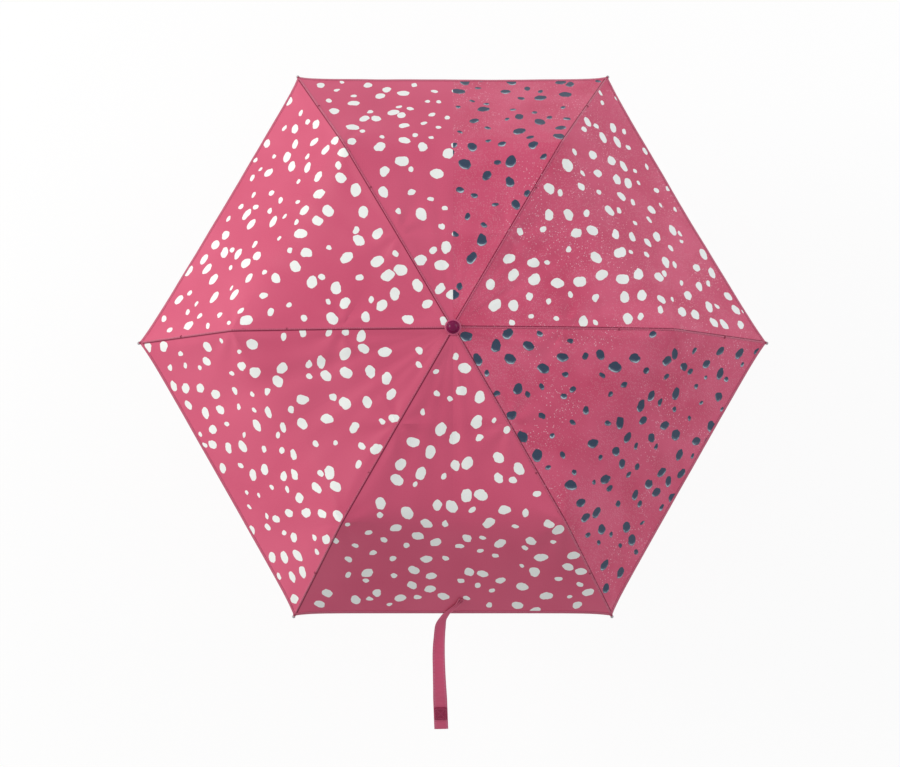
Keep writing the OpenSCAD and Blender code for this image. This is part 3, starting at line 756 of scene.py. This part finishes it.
def stitched_cloth(name, colour, dark, pitch_mm, rows):
    """Cloth turned over and lockstitched: denser in colour, and puckered at every stitch. Its
    UV map runs along the seam in metres, and across it from 0 to 1, with thread at rows."""
    material, tree, surface, place = new_material(name)
    cut = add_node(tree, "UVMap", uv_map="flat_cut")
    run, across, _ = add_node(tree, "SeparateXYZ", {"Vector": cut}).outputs
    beat = add_node(tree, "Math", {0: run, 1: 1000 / pitch_mm}, operation="MULTIPLY")
    beat = add_node(tree, "Math", {0: beat}, operation="FRACT")
    thread = add_node(tree, "Math", {0: beat, 1: 0.72}, operation="LESS_THAN")
    lines = 0.0
    for row in rows:
        off = add_node(tree, "Math", {0: across, 1: row}, operation="SUBTRACT")
        off = add_node(tree, "Math", {0: off}, operation="ABSOLUTE")
        line = add_node(tree, "Math", {0: off, 1: 0.07}, operation="LESS_THAN")
        lines = add_node(tree, "Math", {0: line, 1: lines}, operation="MAXIMUM")
    thread = add_node(tree, "Math", {0: thread, 1: lines}, operation="MULTIPLY")
    pucker = add_node(tree, "Math", {0: run, 1: 2 * math.pi * 1000 / pitch_mm}, operation="MULTIPLY")
    pucker = add_node(tree, "Math", {0: pucker}, operation="SINE")
    mottle = add_node(tree, "TexNoise", {"Vector": place, "Scale": 260.0, "Detail": 3.0})
    cloth = add_node(tree, "Mix", {0: mottle, 6: linear(dark), 7: linear(colour)}, data_type="RGBA")
    cloth = add_node(tree, "Mix", {0: thread, 6: cloth, 7: linear("#C4607F")}, data_type="RGBA")
    height = add_node(tree, "Math", {0: thread, 1: 0.8, 2: pucker}, operation="MULTIPLY_ADD")
    bump = add_node(tree, "Bump", {"Height": height, "Strength": 0.5, "Distance": 0.0002})
    set_inputs(tree, surface, {"Base Color": cloth, "Normal": bump, "Roughness": 0.6,
                               "Sheen Weight": 0.25})
    return material


# Lapped seam in the same pongee, with two rows of 3 mm stitches
seam_cloth = stitched_cloth("lapped_seam_pongee", "#B94467", "#9C2C4E", 3.0, (0.3, 0.7))


def seam_ridge(rib, zone, rows):
    """One zone of a seam's ridge: it follows the cloth on both sides and swells between."""
    shape = bmesh.new()
    bmesh.ops.create_grid(shape, x_segments=rows, y_segments=8, size=0.5)
    length = (seam_line[zone + 1] - seam_line[zone]).length
    flats = {}
    for vert in shape.verts:
        along, off = vert.co.x + 0.5, 2 * vert.co.y
        side = -1 if off > 0 else 1
        half_width = seam_line[zone].lerp(seam_line[zone + 1], along).x * math.sin(half_step)
        place = cloth_point(gore_beside(rib, side), side, zone, along,
                            min(1.0, abs(off) * ridge_half / half_width))[0]
        swell = ridge_rise * math.sqrt(max(0.0, 1 - off * off)) - ridge_sink
        vert.co = place + Vector((0, 0, swell))
        flats[vert] = (flat_from_centre[zone] + length * along, (off + 1) / 2)
    lay_flat(shape, flats)
    return face_up(shape)


for rib in range(1, rib_count + 1):
    for zone, rows in enumerate((40, 44, 60)):
        piece(f"seam_{zones[zone]}_{rib}", seam_ridge(rib, zone, rows), seam_cloth,
              f"{zone_bodies[zone]}_{rib}")


# ---------------------------------------------------------------- Hem
# The lower edge of each gore is turned in twice and sewn with two rows of stitches, so it is a
# firm band, 6 mm wide and three layers thick. It is cut at the gore's middle as the cloth is.

hem_wide = 0.006
hem_thick = 0.0011

# Three layers of the pongee, which look darker than one
hem_cloth = stitched_cloth("turned_hem_pongee", "#B84063", "#A03453", 2.6, (0.2, 0.72))
skirt_length = (seam_line[3] - seam_line[2]).length
skirt_up = Vector((-middle_slopes[2], 1.0)).normalized()

for rib in range(1, rib_count + 1):
    for side, hand in halves:
        gore = gore_beside(rib, side)
        square_up = skirt_up.x * facing(gore * step - half_step)[0] + Vector((0, 0, skirt_up.y))
        shape = bmesh.new()
        bmesh.ops.create_grid(shape, x_segments=60, y_segments=14, size=0.5)
        flats = {}
        for vert in shape.verts:
            between, around = vert.co.x + 0.5, 2 * math.pi * vert.co.y
            inwards = (1 - math.cos(around)) / 2
            along = 1 - inwards * hem_wide / skirt_length
            place, _, from_seam = cloth_point(gore, side, 2, along, between)
            thick = hem_thick / 2 * math.copysign(abs(math.sin(around)) ** 0.5, math.sin(around))
            vert.co = place + thick * square_up
            flats[vert] = (from_seam, 1 - inwards)
        lay_flat(shape, flats)
        hem = piece(f"hem_{rib}_{hand}", closed(shape), hem_cloth, f"outer_rib_{rib}")
        start, along, square = fold_lines(rib, side, 2)
        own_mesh(hem)


# ---------------------------------------------------------------- Ties and tips
# Polyester thread holds the cloth to each rib: a few stitches past the knee, before the
# crease and halfway along the rod, and a whipping that binds the corner behind the bead.

# Polyester sewing thread, dyed darker than the cloth
thread_dye = soft_plastic("polyester_sewing_thread", "#7E1D3C", "#A8425F", 0.65, 0.3)
thread_r = 0.00036
thread_pitch = 0.0008


def rib_ways(rib, direction):
    """The directions outwards and sideways at a rib, along it, and square to it, where its
    plane holds the given direction."""
    out, side = facing((rib - 1) * step)
    along = direction.x * out + Vector((0, 0, direction.y))
    return out, side, along, -direction.y * out + Vector((0, 0, direction.x))


def thread_wrap(rib, place, direction, turns, low, high, half):
    """One thread wound round a rib and its cloth, in a rib's plane at place: from low to high
    square to the rib, and half to each side."""
    out, side, along, square = rib_ways(rib, direction)
    centre = place.x * out + Vector((0, 0, place.y)) + square * (low + high) / 2
    shape = bmesh.new()
    bmesh.ops.create_grid(shape, x_segments=26 * turns, y_segments=8, size=0.5)
    for vert in shape.verts:
        angle, around = vert.co.x * turns * 2 * math.pi, vert.co.y * 2 * math.pi
        radial = math.cos(angle) * side + math.sin(angle) * square
        at = centre + along * vert.co.x * turns * thread_pitch
        at += half * math.cos(angle) * side + (high - low) / 2 * math.sin(angle) * square
        vert.co = at + thread_r * (math.cos(around) * radial + math.sin(around) * along)
    return closed(shape)


def cloth_corner(rib, places, direction, low, high, half):
    """The corner of the cloth, gathered round the rod: a flattened sleeve whose thickness at
    each place along the rod is a share of low, high and half."""
    out, side, along, square = rib_ways(rib, direction)
    shape = bmesh.new()
    bmesh.ops.create_grid(shape, x_segments=len(places) - 1, y_segments=28, size=0.5)
    flats = {}
    for vert in shape.verts:
        from_tip, share = places[round((vert.co.x + 0.5) * (len(places) - 1))]
        around = vert.co.y * 2 * math.pi
        gather = share * (1 + 0.07 * math.cos(6 * around + rib))
        flats[vert] = (from_tip, vert.co.y + 0.5)
        spot = tip.x * out + Vector((0, 0, tip.y)) - from_tip * along
        level = (low + high) / 2 + gather * (high - low) / 2 * math.sin(around)
        vert.co = spot + gather * half * math.cos(around) * side + level * square
    lay_flat(shape, flats)
    return closed(shape)


# The gathered corners are the hem's cloth, and show its rows of stitches
corner_cloth = stitched_cloth("gathered_corner_pongee", "#B03C5E", "#8E2646", 1.6, (0.25,))
stitch_high = cloth_lift + ridge_rise + thread_r
tie_half = 0.0019
gather_low, gather_high, gather_half = -0.0016, cloth_lift + 0.0007, 0.0021
rod_way = (tip - crease).normalized()
ties = []
for name, zone, share, turns in (("knee", 1, 0.5, 3), ("crease", 1, 0.9, 4), ("rod", 2, 0.52, 3)):
    start, end = ((knee, crease), (crease, tip))[zone - 1]
    ties.append((name, zone_bodies[zone], start.lerp(end, share), (end - start).normalized(), turns,
                 cloth_lift - 0.0012, stitch_high))
ties.append(("tip", "outer_rib", tip.lerp(crease, 0.032), rod_way, 4, gather_low, gather_high))
# Places along a corner's sleeve: distance from the bead's centre, and share of full thickness
sleeve = [(0.0026, 0.1), (0.0027, 0.55), (0.0032, 0.8), (0.0042, 0.9), (0.0058, 0.86), (0.0072, 0.86),
          (0.0086, 0.92), (0.0102, 0.96), (0.0116, 0.86), (0.0124, 0.4), (0.0125, 0.1)]
for rib in range(1, rib_count + 1):
    piece(f"corner_{rib}", cloth_corner(rib, sleeve, rod_way, gather_low, gather_high, gather_half),
          corner_cloth, f"outer_rib_{rib}")
    for name, body, place, direction, turns, low, high in ties:
        piece(f"tie_{name}_{rib}", thread_wrap(rib, place, direction, turns, low, high, tie_half),
              thread_dye, f"{body}_{rib}")


# ---------------------------------------------------------------- Washer and cap
# A stamped washer, painted pale raspberry, holds the middle of the cloth down on the crown. A
# moulded cap is pressed over it into the top of the shaft.

washer_low, washer_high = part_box("ferrule_washer")
cap_low, cap_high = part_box("ferrule_cap")
washer_r = washer_high.x
washer_hole = 0.0042
cap_r = cap_high.x
stem_r = 0.0036
rounding = 0.0005

# Painted steel: paler than the cap, slightly glossy
washer_paint = soft_plastic("painted_steel_washer", "#B0325E", "#CC6A8C", 0.42, 0.5)
washer_outline = [(washer_hole, washer_low.z), (washer_r - rounding, washer_low.z)]
washer_outline += arc((washer_r - rounding, washer_low.z + rounding), rounding, -90, 50, 7)
washer_outline += [(washer_r - 0.0012, washer_high.z), (washer_hole, washer_high.z),
                   (washer_hole, washer_low.z)]
washer = piece("crown_washer", turned(washer_outline), washer_paint, "upper_shaft")
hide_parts("ferrule_washer")

# Polished ABS: dark raspberry, with one soft highlight
cap_gloss = soft_plastic("polished_dark_raspberry_abs", "#6C023E", "#86184F", 0.34, 1.2)
cap_gloss.node_tree.nodes["Principled BSDF"].inputs["Specular IOR Level"].default_value = 0.2
foot = washer_high.z + 0.00005
cap_outline = [(0, cap_low.z), (stem_r - rounding, cap_low.z), (stem_r, cap_low.z + rounding),
               (stem_r, foot), (cap_r - rounding, foot)]
cap_outline += arc((cap_r - rounding, foot + rounding), rounding, -70, 60, 6)
cap_outline += [(cap_r - rounding, foot + 0.0013), (cap_r - 0.0011, foot + 0.0016)]
dome_foot, dome_r = foot + 0.0018, cap_r - 0.0012
for angle in (math.radians(a) for a in range(2, 88, 5)):
    cap_outline.append((dome_r * math.cos(angle) ** 0.8,
                        dome_foot + (cap_high.z - dome_foot) * math.sin(angle)))
cap_outline.append((0, cap_high.z))
cap = piece("crown_cap", turned(cap_outline), cap_gloss, "upper_shaft")
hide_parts("ferrule_cap")


# ---------------------------------------------------------------- Closure strap
# A tape of the cloth in four layers, 20 mm wide and edge-stitched, sewn on bunched beside the
# middle of gore 5, and hanging free. A square of hook tape is box-stitched on near its end.

strap_wide = 0.020
strap_thick = 0.0010
strap_lift = 0.0014
route_step = 0.0165    # mean length of the strap between two points of its route
skirt_slope = math.atan(middle_slopes[2])
strap_square = Vector((0, math.sin(skirt_slope), math.cos(skirt_slope)))

# The strap's route in millimetres from the hem's middle: sideways, outwards, and up. The first
# three points lie on the cloth.
strap_route = [(x, y * math.cos(skirt_slope), y * math.sin(skirt_slope))
               for x, y in ((12, -36), (6, -24), (-4, -12))]
strap_route += [(-12, 0, 0), (-17, 11, -9), (-19, 28, -19), (-20, 50, -28), (-19.5, 76, -37),
                (-18.5, 104, -50), (-18, 118, -59), (-17.5, 132, -68), (-17, 146, -77),
                (-16.5, 160, -86)]
strap_last = len(strap_route) - 1


def strap_spot(k):
    """A point of the strap's route, in metres, lowered with the sag of the cloth under it."""
    x, y, z = (c / 1000 for c in strap_route[max(0, min(k, strap_last))])
    out = middle_out[3] + min(y, 0.0)
    wide = out * math.tan(half_step)
    sag = cloth_height(5, out, x, wide, 1 - abs(x) / wide)
    return Vector((x, -middle_out[3] - y, seam_line[3].y + z + sag * max(0.0, 1 - max(0, k - 3) / 4)))


def strap_middle(at):
    """The strap's middle line: at counts the points of the route."""
    k = min(int(at), strap_last - 1)
    a, b, c, d = (strap_spot(k + n) for n in (-1, 0, 1, 2))
    t = at - k
    return (2 * b + (c - a) * t + (2 * a - 5 * b + 4 * c - d) * t * t
            + (3 * b - a - 3 * c + d) * t ** 3) / 2


def blend(keys, at):
    """Reads a smooth line through pairs of place and value."""
    for (a, low), (b, high) in zip(keys, keys[1:]):
        if at <= b:
            t = max(0.0, (at - a) / (b - a))
            return low + (high - low) * t * t * (3 - 2 * t)
    return keys[-1][1]


# Along the route: the width, bunched where it is sewn on, the depth of the pleats there, and the
# sag of the middle where the strap hangs free
strap_widths = ((0, 0.0086), (1, 0.0066), (2.2, 0.0072), (3, 0.0098), (4.4, 0.0156), (6.5, 0.0176),
                (9, strap_wide))
strap_pleats = ((0, 0.0015), (1, 0.0013), (2, 0.0009), (3.2, 0.0004), (4.6, 0.0))
strap_bellies = ((3, 0), (5, 1), (8, 0.6), (9, 0))
strap_belly = 0.0011


def on_strap(at, off, lift):
    """A point on the strap: at along it, off from -1 to 1 across it, and lift above it."""
    ahead = (strap_middle(min(at + 0.05, strap_last)) - strap_middle(max(at - 0.05, 0))).normalized()
    across = strap_square.cross(ahead).normalized()
    up = ahead.cross(across)
    half = blend(strap_widths, at) / 2
    pleat = blend(strap_pleats, at) * (0.5 + 0.5 * math.cos(2.4 * math.pi * off + 0.9 * at))
    belly = -strap_belly * (1 - off * off) * blend(strap_bellies, at)
    return strap_middle(at) + across * off * half + up * (strap_lift + pleat + belly + lift)


def strap_sheet(start, end, rows, columns, edge, low, high):
    """A band of the strap from start to end, edge of its half-width wide, as a closed solid
    between two heights above its middle."""
    shape = bmesh.new()
    bmesh.ops.create_grid(shape, x_segments=rows, y_segments=2 * columns, size=0.5)
    flats = {}
    for vert in shape.verts:
        at, around = start + (end - start) * (vert.co.x + 0.5), 2 * math.pi * vert.co.y
        off = edge * math.copysign(abs(math.cos(around)) ** 0.7, math.cos(around))
        rise = math.copysign(abs(math.sin(around)) ** 0.5, math.sin(around))
        vert.co = on_strap(at, off, (low + high) / 2 + (high - low) / 2 * rise)
        flats[vert] = (route_step * at, (off + 1) / 2)
    lay_flat(shape, flats)
    bmesh.ops.remove_doubles(shape, verts=shape.verts, dist=1e-6)
    bmesh.ops.holes_fill(shape, edges=[line for line in shape.edges if line.is_boundary])
    return closed(shape)


# The strap is the same pongee in four layers, stitched 1.5 mm from both edges
strap_cloth = stitched_cloth("edge_stitched_strap", "#C84A70", "#BC3F65", 2.8, (0.09, 0.91))
strap = piece("strap_tape", strap_sheet(0, strap_last, 150, 16, 1.0, -strap_thick / 2, strap_thick / 2),
              strap_cloth, "strap")
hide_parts("closure_strap")

# Woven nylon hook tape: dark raspberry, rough with rows of hooks, and painted darker as shade in the
# hollows between them
hook_tape, tree, surface, place = new_material("woven_hook_tape")
cut = add_node(tree, "UVMap", uv_map="flat_cut")
cut = add_node(tree, "VectorMath", {0: cut, 1: (1.0, 0.018, 1.0)}, operation="MULTIPLY")
hooks = add_node(tree, "TexVoronoi", {"Vector": cut, "Scale": 900.0, "Randomness": 0.55})
shade = add_node(tree, "MapRange", {"Value": hooks, "From Max": 0.6})
colour = add_node(tree, "Mix", {0: shade, 6: linear("#B52058"), 7: linear("#7C0C38")}, data_type="RGBA")
bump = add_node(tree, "Bump", {"Height": hooks, "Strength": 0.8, "Distance": 0.0004}, invert=True)
set_inputs(tree, surface, {"Base Color": colour, "Normal": bump, "Roughness": 0.7})
patch_start, patch_end = 9.75, 11.0
patch_low, patch_high = 0.0006, 0.0016
patch = piece("strap_hook_patch",
              strap_sheet(patch_start, patch_end, 24, 12, 0.9, patch_low, patch_high),
              hook_tape, "strap")
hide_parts("strap_patch")


stitch_half = (0.00026, 0.00022)    # half the width and half the height of a stitch


def stitch_rows(rows):
    """Raised stitches along lines on the strap. A row is its two ends, each at and off, its
    height over the strap's middle, and its number of stitches."""
    shape = bmesh.new()
    for (a, a_off), (b, b_off), lift, count in rows:
        for k in range(count):
            ends = [on_strap(a + (b - a) * share, a_off + (b_off - a_off) * share, lift)
                    for share in ((k + 0.12) / count, (k + 0.88) / count)]
            run = (ends[1] - ends[0]) / 2
            made = bmesh.ops.create_icosphere(shape, subdivisions=1, radius=1.0)["verts"]
            turn = run.to_track_quat("X", "Z").to_matrix().to_4x4()
            shape_of = Matrix.Diagonal((run.length, *stitch_half, 1))
            bmesh.ops.transform(shape, verts=made,
                                matrix=Matrix.Translation((ends[0] + ends[1]) / 2) @ turn @ shape_of)
    return shape


# Thread of the strap: edge rows, the box and cross on the patch, the tab, and the bar tack
strap_thread = soft_plastic("strap_sewing_thread", "#A8355C", "#C7688A", 0.6, 0.3)
strap_top = strap_thick / 2 + 0.00008
patch_top = patch_high + 0.0001
box_start, box_end, box_off = patch_start + 0.12, patch_end - 0.12, 0.74
cross_start, cross_end, cross_off = patch_start + 0.16, patch_end - 0.16, 0.7
edges = [((3.2, off), (11.95, off), strap_top, 62) for off in (-0.86, 0.86)]
tab = [((at, -0.86), (at, 0.86), strap_top, 7) for at in (11.16, 9.6)]
box = [((box_start, off), (box_end, off), patch_top, 7) for off in (-box_off, box_off)]
box += [((at, -box_off), (at, box_off), patch_top, 6) for at in (box_start, box_end)]
cross = [((cross_start, -off), (cross_end, off), patch_top, 9) for off in (cross_off, -cross_off)]
seams_on_strap = piece("strap_stitches", stitch_rows(edges + tab + box + cross), strap_thread, "strap")
tack = [((0.14 + 0.09 * k, -0.9), (0.18 + 0.09 * k, 0.9), strap_top + 0.0002, 5) for k in range(6)]
bar_tack = piece("strap_bar_tack", stitch_rows(tack), thread_dye, "strap")
strap_length = sum((strap_middle((k + 1) / 8) - strap_middle(k / 8)).length
                   for k in range(8 * strap_last))
